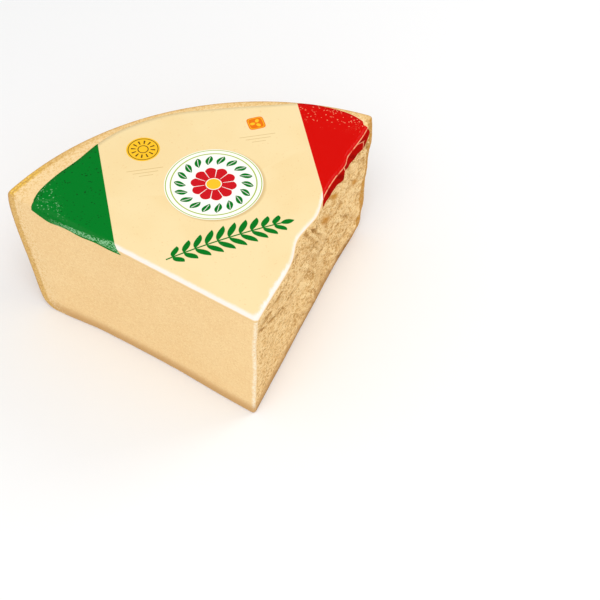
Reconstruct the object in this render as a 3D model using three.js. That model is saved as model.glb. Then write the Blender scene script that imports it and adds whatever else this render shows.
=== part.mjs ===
// A wedge of hard cheese under a film label.
//
// The wedge is an eighth of a big drum-shaped wheel, less a slice: half the wheel's height and a
// sector of its round. Its flat bottom was the wheel's flat face. Its top was cut level where the
// wheel is widest, so the rind at the back leans in towards the floor. The left side was cut
// smooth with a wire, and the right side was broken open, so it is rough. The printed label lies
// over the whole top, is folded down over both sides, and hangs down the broken side as a flap.
//
// Millimetres, +Z up. The tip points to -Y and the rind to +Y. Everything is worked out with the
// tip's top corner over x = 0, y = 0, and the group is moved at the end, so that the origin lies
// under the middle of the whole.

import * as THREE from 'three';
import { toCreasedNormals } from 'three/addons/utils/BufferGeometryUtils.js';

// Driving dimensions of the wedge
const wheelRadius = 210;
const wedgeHeight = 96.5;
const sectorAngle = THREE.MathUtils.degToRad(78.7);
const tipRadius = 2.5;
const rimCornerRadius = 1.6;
const topEdgeRadius = 2.5;
const rindEdgeRadius = 1.0;
const bottomEdgeRadius = 1.0;

// Driving dimensions of the label
const filmGap = 0.35;
const filmThickness = 0.5;
const labelEndLeft = 188.5;
const labelEndRight = 198;
const flapSkew = 1.5;
const flapSkewGrowth = 8;
const flapLift = { out: 1.3, from: 2, to: 10, creaseShare: 0.4, creaseLength: 4.1, creaseDrop: 3.3 };

// Fineness of the solids
const rightColumns = 58;
const leftColumns = 18;
const rindColumns = 40;
const tipColumns = 4;
const cornerColumns = 3;
const profileRows = 27;
const edgeRows = 3;
const foldRows = 4;
const hangRows = 6;
const creaseAngle = 0.7;
const capMiddle = 120;

// Radius of the rind against height: wide at the level cut, rounded under to the flat bottom
const rindProfile = new THREE.SplineCurve([
  new THREE.Vector2(171, 0),
  new THREE.Vector2(179, 1),
  new THREE.Vector2(185.5, 5),
  new THREE.Vector2(189, 12),
  new THREE.Vector2(192.5, 24),
  new THREE.Vector2(197.3, 40),
  new THREE.Vector2(202.6, 56),
  new THREE.Vector2(207.3, 72),
  new THREE.Vector2(210.2, 86),
  new THREE.Vector2(wheelRadius, wedgeHeight),
]);

// How far the broken side's top edge lies out (+) or is bitten in (-), by distance from the tip
const brokenEdge = new THREE.SplineCurve([
  new THREE.Vector2(-5, 0.2),
  new THREE.Vector2(20, 0.5),
  new THREE.Vector2(45, 1.4),
  new THREE.Vector2(60, 0.3),
  new THREE.Vector2(76, -3.6),
  new THREE.Vector2(88, -2.4),
  new THREE.Vector2(104, 0.3),
  new THREE.Vector2(124, -2.7),
  new THREE.Vector2(142, -2.3),
  new THREE.Vector2(156, 0),
  new THREE.Vector2(166, -1.8),
  new THREE.Vector2(181, 0),
  new THREE.Vector2(194, 0.8),
  new THREE.Vector2(215, 0.2),
]);

// How far the smooth side's foot stands out, by distance from the tip
const smoothFoot = new THREE.SplineCurve([
  new THREE.Vector2(-5, 4.2),
  new THREE.Vector2(30, 3.8),
  new THREE.Vector2(75, 2.4),
  new THREE.Vector2(130, 3.2),
  new THREE.Vector2(150, 4.8),
  new THREE.Vector2(165, 6.4),
  new THREE.Vector2(180, 7),
  new THREE.Vector2(215, 7.2),
]);

// How far the label hangs down each side, by distance from the tip
const leftHem = new THREE.SplineCurve([
  new THREE.Vector2(-5, 3),
  new THREE.Vector2(60, 3.2),
  new THREE.Vector2(100, 3.2),
  new THREE.Vector2(112, 4.4),
  new THREE.Vector2(122, 5.4),
  new THREE.Vector2(134, 5.4),
  new THREE.Vector2(146, 7),
  new THREE.Vector2(156, 6.6),
  new THREE.Vector2(164, 7),
  new THREE.Vector2(173, 8.4),
  new THREE.Vector2(180, 7.4),
  new THREE.Vector2(labelEndLeft, 5.2),
]);
const rightHem = new THREE.SplineCurve([
  new THREE.Vector2(-5, 2.8),
  new THREE.Vector2(60, 2.7),
  new THREE.Vector2(104, 2.8),
  new THREE.Vector2(112, 3.6),
  new THREE.Vector2(120, 5.8),
  new THREE.Vector2(132, 8.2),
  new THREE.Vector2(144, 8.8),
  new THREE.Vector2(151, 10),
  new THREE.Vector2(157, 6.6),
  new THREE.Vector2(165, 8.6),
  new THREE.Vector2(178, 9.8),
  new THREE.Vector2(189, 10.6),
  new THREE.Vector2(labelEndRight, 7.5),
]);

// Radius of the label's outer edge against the angle from the middle line, right to left
const labelRim = new THREE.SplineCurve([
  new THREE.Vector2(38.4, 201.5),
  new THREE.Vector2(35, 206),
  new THREE.Vector2(30, 208.4),
  new THREE.Vector2(25, 208.9),
  new THREE.Vector2(18, 204.8),
  new THREE.Vector2(8, 203.6),
  new THREE.Vector2(-2, 206.2),
  new THREE.Vector2(-12, 205),
  new THREE.Vector2(-18, 201.4),
  new THREE.Vector2(-24, 196.2),
  new THREE.Vector2(-30, 194.6),
  new THREE.Vector2(-35, 192.8),
  new THREE.Vector2(-37.6, 190.4),
  new THREE.Vector2(-38.8, 188.6),
]);
const labelRimSteps = 30;

// Relief of the broken side: it leans in towards its foot, but not near the rind, where it
// swells out, and it is calmer towards the tip, the edges and the foot
const brokenLean = 1.8;
const edgeFade = 30;
const swell = { from: 140, to: 195, out: 2, lowness: 0.7 };
const calm = { underEdge: [4, 22], overFoot: [0, 10], tipZone: [20, 110], tipShare: 0.45 };
const lumps = [
  { length: 30, height: 20, depth: 1.5, shift: 3 },
  { length: 13, height: 9, depth: 0.8, shift: 17 },
];
const ledge = { start: 10, end: 46, drop: 18, slope: 0.24, lip: 2.5, depth: 1.8, fade: 30 };

const halfAngle = sectorAngle / 2;
const rightSide = {
  along: new THREE.Vector2(Math.sin(halfAngle), Math.cos(halfAngle)),
  out: new THREE.Vector2(Math.cos(halfAngle), -Math.sin(halfAngle)),
  stand: brokenStand,
};
const leftSide = {
  along: new THREE.Vector2(-Math.sin(halfAngle), Math.cos(halfAngle)),
  out: new THREE.Vector2(-Math.cos(halfAngle), -Math.sin(halfAngle)),
  stand: smoothStand,
};

// Curves as plain functions

function sampled(curve, key, value, steps = 240) {
  const points = curve.getPoints(steps);
  if (points[0][key] > points[steps][key]) points.reverse();
  return (place) => {
    let i = 1;
    while (i < steps && points[i][key] < place) i += 1;
    const span = points[i][key] - points[i - 1][key];
    const share = THREE.MathUtils.clamp((place - points[i - 1][key]) / span, 0, 1);
    return THREE.MathUtils.lerp(points[i - 1][value], points[i][value], share);
  };
}

const rindAt = sampled(rindProfile, 'y', 'x');
const brokenEdgeAt = sampled(brokenEdge, 'x', 'y');
const smoothFootAt = sampled(smoothFoot, 'x', 'y');
const leftHemAt = sampled(leftHem, 'x', 'y');
const rightHemAt = sampled(rightHem, 'x', 'y');
const labelRimAt = sampled(labelRim, 'x', 'y');

// Relief

function chance(i, j) {
  const wave = Math.sin(i * 127.1 + j * 311.7) * 43758.5453;
  return wave - Math.floor(wave);
}

function softNoise(x, y) {
  const i = Math.floor(x);
  const j = Math.floor(y);
  const u = THREE.MathUtils.smoothstep(x - i, 0, 1);
  const v = THREE.MathUtils.smoothstep(y - j, 0, 1);
  const low = THREE.MathUtils.lerp(chance(i, j), chance(i + 1, j), u);
  const high = THREE.MathUtils.lerp(chance(i, j + 1), chance(i + 1, j + 1), u);
  return 2 * THREE.MathUtils.lerp(low, high, v) - 1;
}

// The broken side: a bitten top edge that fades downwards, a swelling along the rind, lumps,
// and a short ledge near the tip
function brokenStand(distance, height) {
  const drop = wedgeHeight - height;
  const share = THREE.MathUtils.clamp(height / wedgeHeight, 0, 1);
  const towardsRind = THREE.MathUtils.smoothstep(distance, swell.from, swell.to);
  const lean = brokenLean * (1 - towardsRind) * (1 - share);
  const swollen = swell.out * towardsRind * Math.sin(Math.PI * share ** swell.lowness);
  const edge = brokenEdgeAt(distance) * Math.exp(-drop / edgeFade);
  const awayFromTip = THREE.MathUtils.smoothstep(distance, ...calm.tipZone);
  const rough = THREE.MathUtils.smoothstep(drop, ...calm.underEdge)
    * THREE.MathUtils.smoothstep(height, ...calm.overFoot)
    * THREE.MathUtils.lerp(calm.tipShare, 1, awayFromTip);
  let relief = 0;
  for (const { length, height: tall, depth, shift } of lumps) {
    relief += depth * softNoise(distance / length + shift, height / tall + shift);
  }
  const line = ledge.drop + ledge.slope * distance;
  const under = THREE.MathUtils.smoothstep(drop, line, line + ledge.lip)
    * (1 - THREE.MathUtils.smoothstep(drop, line + ledge.lip, line + ledge.fade))
    * THREE.MathUtils.smoothstep(distance, 0, ledge.start)
    * (1 - THREE.MathUtils.smoothstep(distance, ledge.end / 2, ledge.end));
  return edge - lean + swollen + rough * relief - ledge.depth * under;
}

// The smooth side: flat, with its foot standing out
function smoothStand(distance, height) {
  return smoothFootAt(distance) * (1 - height / wedgeHeight);
}

// Plan of the wedge at one height, as points that every row shares

function meetingPoint(row) {
  const right = rightSide.stand(0, row.height) - row.inset;
  const left = leftSide.stand(0, row.height) - row.inset;
  return new THREE.Vector2(
    (right - left) / (2 * Math.cos(halfAngle)),
    -(right + left) / (2 * Math.sin(halfAngle)),
  );
}

function sidePoint(side, share, row, skew = 0) {
  const start = meetingPoint(row).dot(side.along) + tipRadius / Math.tan(halfAngle);
  const outer = row.rind - rimCornerRadius;
  const end = Math.sqrt(outer * outer - side.stand(outer, row.height) ** 2);
  const distance = THREE.MathUtils.lerp(start, end, share) + skew;
  const stand = side.stand(distance, row.height) - row.inset;
  return side.along.clone().multiplyScalar(distance).addScaledVector(side.out, stand);
}

function rindPoint(share, row) {
  const corner = rimCornerRadius / row.rind;
  const from = angleOf(sidePoint(rightSide, 1, row)) - corner;
  const to = angleOf(sidePoint(leftSide, 1, row)) + corner;
  const angle = THREE.MathUtils.lerp(from, to, share);
  return new THREE.Vector2(Math.sin(angle), Math.cos(angle)).multiplyScalar(row.rind);
}

function angleOf(point) {
  return Math.atan2(point.x, point.y);
}

function roundedCorner(from, corner, to, share) {
  return new THREE.QuadraticBezierCurve(from, corner, to).getPoint(share);
}

function rimCorner(side, rindShare, row) {
  const face = sidePoint(side, 1, row);
  const corner = face.clone().setLength(row.rind);
  return { face, corner, rind: rindPoint(rindShare, row) };
}

const plan = {
  right: (share, row) => sidePoint(rightSide, share, row),
  left: (share, row) => sidePoint(leftSide, share, row),
  rind: rindPoint,
  rightCorner(share, row) {
    const { face, corner, rind } = rimCorner(rightSide, 0, row);
    return roundedCorner(face, corner, rind, share);
  },
  leftCorner(share, row) {
    const { face, corner, rind } = rimCorner(leftSide, 1, row);
    return roundedCorner(rind, corner, face, share);
  },
  tip(share, row) {
    const from = sidePoint(leftSide, 0, row);
    const to = sidePoint(rightSide, 0, row);
    return roundedCorner(from, meetingPoint(row), to, share);
  },
};

// Shares from 0 up to but not counting 1, so that each stretch leaves its end to the next
function stretch(part, count, backwards = false) {
  return Array.from({ length: count }, (_, i) => ({
    part,
    share: backwards ? 1 - i / count : i / count,
  }));
}

// Mesh helpers

function quads(rows, columns, closed) {
  const triangles = [];
  const last = closed ? columns : columns - 1;
  for (let k = 0; k < rows - 1; k += 1) {
    for (let j = 0; j < last; j += 1) {
      const next = (j + 1) % columns;
      const a = k * columns + j;
      const b = k * columns + next;
      triangles.push([a, b, b + columns], [a, b + columns, a + columns]);
    }
  }
  return triangles;
}

// A flat cap: triangles from a middle point to every stretch of the ring round it
function fan(ring, middle) {
  return ring.map((a, i) => [middle, a, ring[(i + 1) % ring.length]]);
}

function turnedOver(triangles, shift = 0) {
  return triangles.map(([a, b, c]) => [a + shift, c + shift, b + shift]);
}

function solid(points, triangles) {
  const geometry = new THREE.BufferGeometry().setFromPoints(points);
  geometry.setIndex(triangles.flat());
  return toCreasedNormals(geometry, creaseAngle);
}

// The cheese: rows of the plan from the flat bottom up, and two flat caps

function cheeseRows() {
  const rows = rindProfile.getSpacedPoints(profileRows).map(({ x, y }) => {
    const reach = Math.max(bottomEdgeRadius - y, 0);
    const inset = bottomEdgeRadius - Math.sqrt(bottomEdgeRadius ** 2 - reach ** 2);
    return { height: y, rind: x, inset };
  }).filter(({ height }) => height < wedgeHeight - topEdgeRadius);
  for (let k = 0; k <= edgeRows; k += 1) {
    const turn = (k / edgeRows) * (Math.PI / 2);
    const height = wedgeHeight - topEdgeRadius * (1 - Math.sin(turn));
    const inset = topEdgeRadius * (1 - Math.cos(turn));
    rows.push({ height, inset, rind: rindAt(height) - rindEdgeRadius * (1 - Math.cos(turn)) });
  }
  return rows;
}

function cheeseGeometry() {
  const columns = [
    ...stretch('right', rightColumns),
    ...stretch('rightCorner', cornerColumns),
    ...stretch('rind', rindColumns),
    ...stretch('leftCorner', cornerColumns),
    ...stretch('left', leftColumns, true),
    ...stretch('tip', tipColumns),
  ];
  const rows = cheeseRows();
  const points = rows.flatMap((row) => columns.map(({ part, share }) => {
    const { x, y } = plan[part](share, row);
    return new THREE.Vector3(x, y, row.height);
  }));
  const foot = columns.map((_, j) => j);
  const top = foot.map((j) => j + (rows.length - 1) * columns.length);
  points.push(new THREE.Vector3(0, capMiddle, 0), new THREE.Vector3(0, capMiddle, wedgeHeight));
  return solid(points, [
    ...quads(rows.length, columns.length, true),
    ...turnedOver(fan(foot, points.length - 2)),
    ...fan(top, points.length - 1),
  ]);
}

// The label: two skins over the same sheet, joined all round its edge

// How far down the sheet each row lies, measured along the surface from the flat top
function sheetRows(drop) {
  const quarter = topEdgeRadius * Math.PI / 2;
  const reach = Math.max(drop - topEdgeRadius, 0)
    + quarter * Math.min(drop / topEdgeRadius, 1);
  const folded = Math.min(quarter, 0.8 * reach);
  const rows = [];
  for (let k = hangRows; k > 0; k -= 1) rows.push(folded + (reach - folded) * (k / hangRows));
  for (let k = foldRows; k >= 0; k -= 1) rows.push(folded * (k / foldRows));
  return rows;
}

// The film stands off the broken side where it hangs far down, in soft creases
function lift(part, distance, slide) {
  if (part !== 'right') return 0;
  const { out, from, to, creaseShare, creaseLength, creaseDrop } = flapLift;
  const crease = Math.sin(distance / creaseLength) * Math.cos(slide / creaseDrop);
  return out * THREE.MathUtils.smoothstep(slide, from, to) * (1 - creaseShare + creaseShare * crease);
}

function labelPoint({ part, share, distance }, slide, stack) {
  const turn = Math.max(1 - slide / (topEdgeRadius * Math.PI / 2), 0) * (Math.PI / 2);
  const below = Math.max(slide - topEdgeRadius * Math.PI / 2, 0);
  const height = wedgeHeight - topEdgeRadius * (1 - Math.sin(turn)) - below;
  const away = stack + lift(part, distance, slide);
  const inset = topEdgeRadius * (1 - Math.cos(turn)) - away * Math.cos(turn);
  const row = { height, inset, rind: rindAt(height) };
  const reach = slide / rightHemAt(labelEndRight);
  const skew = flapSkew * (distance / labelEndRight) ** flapSkewGrowth * reach;
  const { x, y } = part === 'right' ? sidePoint(rightSide, share, row, skew) : plan[part](share, row);
  return new THREE.Vector3(x, y, height + away * Math.sin(turn));
}

function labelColumns() {
  const edgeRow = { height: wedgeHeight, inset: topEdgeRadius, rind: wheelRadius };
  const distanceOf = (side, share) => sidePoint(side, share, edgeRow).dot(side.along);
  const upTo = (side, part, count, end) => {
    const first = distanceOf(side, 0);
    const last = distanceOf(side, 1);
    const shares = Array.from({ length: count }, (_, i) => i / count)
      .filter((share) => distanceOf(side, share) < end - 2);
    shares.push((end - first) / (last - first));
    return shares.map((share) => ({ part, share, distance: distanceOf(side, share) }));
  };
  const left = upTo(leftSide, 'left', leftColumns * 2, labelEndLeft).reverse();
  const right = upTo(rightSide, 'right', rightColumns, labelEndRight);
  const tip = stretch('tip', tipColumns).slice(1).map((column) => ({ ...column, distance: 0 }));
  return [...left, ...tip, ...right];
}

function labelSkin(columns, stack) {
  const hems = columns.map(({ part, distance }) => {
    const drop = part === 'left' ? leftHemAt(distance) : rightHemAt(distance);
    return sheetRows(drop);
  });
  const points = [];
  for (let k = 0; k <= hangRows + foldRows; k += 1) {
    columns.forEach((column, j) => points.push(labelPoint(column, hems[j][k], stack)));
  }
  const topRow = points.slice(-columns.length);
  const from = THREE.MathUtils.radToDeg(angleOf(topRow[columns.length - 1]));
  const to = THREE.MathUtils.radToDeg(angleOf(topRow[0]));
  for (let i = 1; i < labelRimSteps; i += 1) {
    const degrees = THREE.MathUtils.lerp(from, to, i / labelRimSteps);
    const angle = THREE.MathUtils.degToRad(degrees);
    const radius = labelRimAt(degrees);
    points.push(new THREE.Vector3(radius * Math.sin(angle), radius * Math.cos(angle), topRow[0].z));
  }
  points.push(new THREE.Vector3(0, capMiddle, topRow[0].z));
  return points;
}

function labelGeometry() {
  const columns = labelColumns();
  const count = columns.length;
  const rows = hangRows + foldRows + 1;
  const inner = labelSkin(columns, filmGap);
  const outer = labelSkin(columns, filmGap + filmThickness);
  const edge = Array.from({ length: labelRimSteps - 1 }, (_, i) => rows * count + i);
  const topRow = columns.map((_, j) => (rows - 1) * count + j);
  const skin = [
    ...quads(rows, count, false),
    ...fan([...topRow, ...edge], outer.length - 1),
  ];
  const rightEnd = Array.from({ length: rows - 1 }, (_, k) => (k + 1) * count + count - 1);
  const leftEnd = Array.from({ length: rows - 1 }, (_, k) => (rows - 1 - k) * count);
  const loop = [...columns.map((_, j) => j), ...rightEnd, ...edge, ...leftEnd];
  const shift = outer.length;
  const wall = loop.flatMap((a, i) => {
    const b = loop[(i + 1) % loop.length];
    return [[b, a, a + shift], [b, a + shift, b + shift]];
  });
  return solid([...outer, ...inner], [...skin, ...turnedOver(skin, shift), ...wall]);
}

// The two pieces

const cheese = new THREE.Mesh(
  cheeseGeometry(),
  new THREE.MeshStandardMaterial({ color: '#f0cf96', roughness: 0.6, metalness: 0 }),
);
cheese.name = 'cheese';

const label = new THREE.Mesh(
  labelGeometry(),
  new THREE.MeshStandardMaterial({ color: '#fee7b3', roughness: 0.35, metalness: 0 }),
);
label.name = 'label';

const wedge = new THREE.Group();
wedge.add(cheese, label);

const box = new THREE.Box3().setFromObject(wedge);
const middle = box.getCenter(new THREE.Vector3());
wedge.position.set(-middle.x, -middle.y, -box.min.z);

export default wedge;
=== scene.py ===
"""A wedge of hard grainy cheese under its printed film label.

The wedge is an eighth of a big drum-shaped wheel, less a slice. Its tip points to -Y and its rind
is at the back. Shapes are worked out in millimetres, with the tip's top corner over x = 0, y = 0,
and are put into the frame in metres.
"""
from collections import namedtuple

import bpy
import numpy as np
from mathutils import Matrix


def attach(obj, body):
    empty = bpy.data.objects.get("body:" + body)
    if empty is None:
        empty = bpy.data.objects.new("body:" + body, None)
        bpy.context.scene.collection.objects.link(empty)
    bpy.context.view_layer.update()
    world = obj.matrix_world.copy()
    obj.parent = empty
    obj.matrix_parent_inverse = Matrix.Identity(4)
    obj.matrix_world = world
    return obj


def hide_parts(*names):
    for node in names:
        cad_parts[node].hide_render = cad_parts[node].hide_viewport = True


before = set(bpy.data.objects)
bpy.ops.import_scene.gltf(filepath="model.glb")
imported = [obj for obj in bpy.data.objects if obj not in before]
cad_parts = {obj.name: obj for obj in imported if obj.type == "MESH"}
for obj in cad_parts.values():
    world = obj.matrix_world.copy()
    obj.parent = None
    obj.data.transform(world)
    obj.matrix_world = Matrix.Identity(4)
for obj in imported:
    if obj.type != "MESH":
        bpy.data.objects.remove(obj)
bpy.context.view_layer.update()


# The cheese: an eighth of a pressed and aged wheel, less a slice, of hard grainy paste in its own
# rind. The left side was cut smooth with a wire and the right side was split open, so it is rough
# and flaky. It stands on the wheel's flat face, and its top was cut level.

MM = 0.001
TIP_TO_ORIGIN = np.array([-0.076, -104.842, 0.0])

WHEEL_RADIUS = 210
WEDGE_HEIGHT = 96.5
HALF_ANGLE = np.radians(78.7 / 2)
TIP_RADIUS = 2.5
RIM_CORNER_RADIUS = 1.6
TOP_EDGE_RADIUS = 2.5
RIND_EDGE_RADIUS = 1.0
BOTTOM_EDGE_RADIUS = 1.0
CAP_MIDDLE = np.array([0.0, 120.0])

RIGHT_COLUMNS = 300
LEFT_COLUMNS = 64
RIND_COLUMNS = 150
TIP_COLUMNS = 8
CORNER_COLUMNS = 4
PROFILE_ROWS = 150
PROFILE_STEPS = 4000
EDGE_ROWS = 6
EDGE_GAP = 0.2
CAP_RINGS = [0.004, 0.012, 0.025, 0.045, 0.08, 0.15, 0.3, 0.6]


def curve(stops, steps=240):
    """Smooth curve through (place, value) stops: a Catmull-Rom spline, read off along place."""
    stops = np.array([stops[0], *stops, stops[-1]], float)
    along = np.linspace(0, len(stops) - 3, steps + 1)
    first = np.minimum(along.astype(int), len(stops) - 4)
    t = (along - first)[:, None]
    a, b, c, d = (stops[first + k] for k in range(4))
    points = b + t * (c - a) / 2
    points += t**2 * (2 * a - 5 * b + 4 * c - d) / 2 + t**3 * (3 * b - 3 * c + d - a) / 2
    points = points[np.argsort(points[:, 0])]
    return lambda place: np.interp(place, points[:, 0], points[:, 1])


# Radius of the rind by height, then three by distance from the tip: how far the broken side's top
# edge lies out (+) or is bitten in (-), how far the smooth side's foot stands out, and how far down
# the label hangs over the broken side
RIND_PROFILE = [(0, 171), (1, 179), (5, 185.5), (12, 189), (24, 192.5), (40, 197.3), (56, 202.6),
                (72, 207.3), (86, 210.2), (WEDGE_HEIGHT, WHEEL_RADIUS)]
BROKEN_EDGE = [(-5, 0.2), (20, 0.5), (45, 1.4), (60, 0.3), (76, -3.6), (88, -2.4), (104, 0.3),
               (124, -2.7), (142, -2.3), (156, 0), (166, -1.8), (181, 0), (194, 0.8), (215, 0.2)]
SMOOTH_FOOT = [(-5, 4.2), (30, 3.8), (75, 2.4), (130, 3.2), (150, 4.8), (165, 6.4), (180, 7),
               (215, 7.2)]
RIGHT_HEM = [(-5, 2.8), (60, 2.7), (104, 2.8), (112, 3.6), (120, 5.8), (132, 8.2), (144, 8.8),
             (151, 10), (157, 6.6), (165, 8.6), (178, 9.8), (189, 10.6), (198, 7.5)]
rind_radius = curve(RIND_PROFILE)
broken_edge = curve(BROKEN_EDGE)
smooth_foot = curve(SMOOTH_FOOT)
right_hem = curve(RIGHT_HEM)


def ramp(value, start, end):
    """0 up to start, 1 from end on, and a soft S between them."""
    share = np.clip((value - start) / (end - start), 0, 1)
    return share * share * (3 - 2 * share)


# Numbers without a meaning of their own, that scatter well
CHANCE_STEPS = (127.1, 311.7)
CHANCE_HEIGHT = 43758.5453


def chance(i, j):
    """A number from 0 to 1 for each cell of a grid, always the same for the same cell."""
    wave = np.sin(i * CHANCE_STEPS[0] + j * CHANCE_STEPS[1]) * CHANCE_HEIGHT
    return wave - np.floor(wave)


def soft_noise(x, y):
    """Chance at the grid's crossings, blended between them with a soft S, from -1 to 1."""
    i, j = np.floor(x), np.floor(y)
    u, v = ramp(x - i, 0, 1), ramp(y - j, 0, 1)
    low = chance(i, j) * (1 - u) + chance(i + 1, j) * u
    high = chance(i, j + 1) * (1 - u) + chance(i + 1, j + 1) * u
    return 2 * (low * (1 - v) + high * v) - 1


# Each grid of rough noise against the last one: twice as fine, turned by 37 degrees and shifted
FINER_COSINE, FINER_SINE = 1.6, 1.2
FINER_SHIFT = (7.1, -3.7)


def rough_noise(x, y, octaves):
    """Soft noise on ever finer grids, each turned against the last one and half as strong."""
    total = np.zeros(np.broadcast(x, y).shape)
    for k in range(octaves):
        total = total + soft_noise(x, y) / 2**k
        turned_x = FINER_COSINE * x - FINER_SINE * y
        turned_y = FINER_SINE * x + FINER_COSINE * y
        x, y = turned_x + FINER_SHIFT[0], turned_y + FINER_SHIFT[1]
    return total


def waves(x, y, sizes):
    """A sum of soft noises, each given by its height, its length and its width."""
    return sum(tall * soft_noise(x / length, y / width) for tall, length, width in sizes)


CRACK_WIDTH = 0.16


def flakes(x, y, length, height, step, tilt, seed):
    """Plates that broke off: one middle is scattered in each cell of a grid, and a point takes the
    level and the tilt of the middle nearest to it. Also gives 1 in the cracks between plates."""
    u, v = x / length, y / height
    i, j = np.floor(u), np.floor(v)
    nearest = np.full(u.shape, np.inf)
    second = np.full(u.shape, np.inf)
    level = np.zeros(u.shape)
    for right in (-1, 0, 1):
        for up in (-1, 0, 1):
            ci, cj = i + right, j + up
            across = u - ci - chance(ci + seed, cj)
            along = v - cj - chance(ci, cj + seed)
            far = np.hypot(across, along)
            plate = step * (2 * chance(ci + 5 * seed, cj) - 1)
            plate = plate + tilt * length * across * (2 * chance(ci, cj + 5 * seed) - 1)
            plate = plate + tilt * height * along * (2 * chance(ci + 9 * seed, cj) - 1)
            closer = far < nearest
            second = np.where(closer, nearest, np.minimum(second, far))
            level = np.where(closer, plate, level)
            nearest = np.where(closer, far, nearest)
    return level, 1 - ramp(second - nearest, 0, CRACK_WIDTH)


# The broken side leans in towards its foot, but swells out along the rind. Its lumps and ledge are
# the solid's own. Flakes, cracks and grain lie on them.
BROKEN_LEAN = 1.8
EDGE_FADE = 30
SWELL = {"start": 140, "end": 195, "out": 2, "lowness": 0.7}
CALM = {"under_edge": (4, 22), "over_foot": (0, 10), "tip_zone": (20, 110), "tip_share": 0.45}
# Length, height, depth and shift of each noise
LUMPS = [(30, 20, 1.5, 3), (13, 9, 0.8, 17)]
LEDGE = {"start": 10, "end": 46, "drop": 18, "slope": 0.24, "lip": 2.5, "depth": 1.8, "fade": 30}
LARGE_FLAKES = {"length": 16, "height": 7, "step": 0.34, "tilt": 0.06, "seed": 11}
SMALL_FLAKES = {"length": 7.0, "height": 3.2, "step": 0.18, "tilt": 0.07, "seed": 23}
CRACK_DEPTHS = (0.35, 0.2)
# Depth, length and height
KNOBS = (0.22, 15, 6)
GRAIN = (0.16, 3.4, 2)
LAYER_WARP = (2.0, 9, 6)
HEIGHT_WARP = (1.4, 8, 6)
WARP_SHIFTS = (30, 72)
LAYER_SLANT = 0.5
SLANT_ZONE = (70, 130)
# Where the grain fades and how much of it stays there
GRAIN_FADES = {"under_hem": 6, "foot": (0, 4), "tip": (2, 9), "rim": (1, 9), "rim_share": 0.3,
               "calm": (15, 110), "calm_coarse": 0.25, "calm_fine": 0.55}
# Grooves that the split left: distance and height at both ends, width and depth
GROOVES = [(3.7, 81.2, 18, 69.2, 2.6, 0.8), (8.7, 81.8, 23.6, 79.7, 2.6, 0.5),
           (18, 69.2, 47, 60.5, 1.4, 0.6), (26.6, 70.2, 38.5, 67.6, 1.2, 0.4),
           (25.4, 82.9, 56.2, 81.7, 1.6, 0.5), (49, 64.8, 64.7, 59.4, 1.2, 0.5),
           (57.6, 56.5, 72, 52.9, 1.1, 0.35), (93.6, 68.8, 106.6, 66, 1.6, 0.5),
           (107, 48.1, 130, 42.8, 1.5, 0.5), (99, 82.7, 108.2, 78.7, 2.4, 0.45),
           (149.3, 49.1, 165.9, 35.1, 2.4, 0.5), (68.5, 85.1, 75.5, 82, 2.2, 0.5)]
GROOVE_WOBBLES = [(0.7, 5, 5), (0.4, 1.9, 1.9)]
# Shares of a groove's width: at its ends, and from where to where its wall rises
GROOVE_END = 0.35
GROOVE_WALL = (0.2, 1.3)
# Share of its full painted shade that a groove has for each millimetre of depth
GROOVE_TINT = 2


def under_ledge(distance, drop):
    """1 just under the ledge near the tip, and 0 above it, well below it and further along."""
    line = LEDGE["drop"] + LEDGE["slope"] * distance
    below = ramp(drop, line, line + LEDGE["lip"])
    below = below * (1 - ramp(drop, line + LEDGE["lip"], line + LEDGE["fade"]))
    below = below * ramp(distance, 0, LEDGE["start"])
    return below * (1 - ramp(distance, LEDGE["end"] / 2, LEDGE["end"]))


def broken_form(distance, height):
    """The solid's form: its edge fading down, less its lean, plus its swelling, lumps and ledge."""
    drop = WEDGE_HEIGHT - height
    share = np.clip(height / WEDGE_HEIGHT, 0, 1)
    towards_rind = ramp(distance, SWELL["start"], SWELL["end"])
    lean = BROKEN_LEAN * (1 - towards_rind) * (1 - share)
    swollen = SWELL["out"] * towards_rind * np.sin(np.pi * share ** SWELL["lowness"])
    edge = broken_edge(distance) * np.exp(-drop / EDGE_FADE)
    tip_share = CALM["tip_share"]
    rough = ramp(drop, *CALM["under_edge"]) * ramp(height, *CALM["over_foot"])
    rough = rough * (tip_share + (1 - tip_share) * ramp(distance, *CALM["tip_zone"]))
    relief = sum(depth * soft_noise(distance / length + shift, height / tall + shift)
                 for length, tall, depth, shift in LUMPS)
    return edge - lean + swollen + rough * relief - LEDGE["depth"] * under_ledge(distance, drop)


def grooves(distance, height):
    """How deep the grooves are: the full depth along a segment, and a soft S to 0 beside it."""
    wobble = waves(distance, height, GROOVE_WOBBLES)
    deepest = np.zeros(np.broadcast(distance, height).shape)
    for start, from_height, end, to_height, width, depth in GROOVES:
        share = np.clip((distance - start) / (end - start), 0, 1)
        line_height = from_height + (to_height - from_height) * share
        past_end = np.abs(distance - start - (end - start) * share)
        away = np.abs(height - line_height + wobble) + past_end
        thin = width * (GROOVE_END + (1 - GROOVE_END) * np.sin(np.pi * share))
        wall = ramp(away / thin, *GROOVE_WALL)
        deepest = np.maximum(deepest, depth * (1 - wall))
    return deepest


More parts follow.
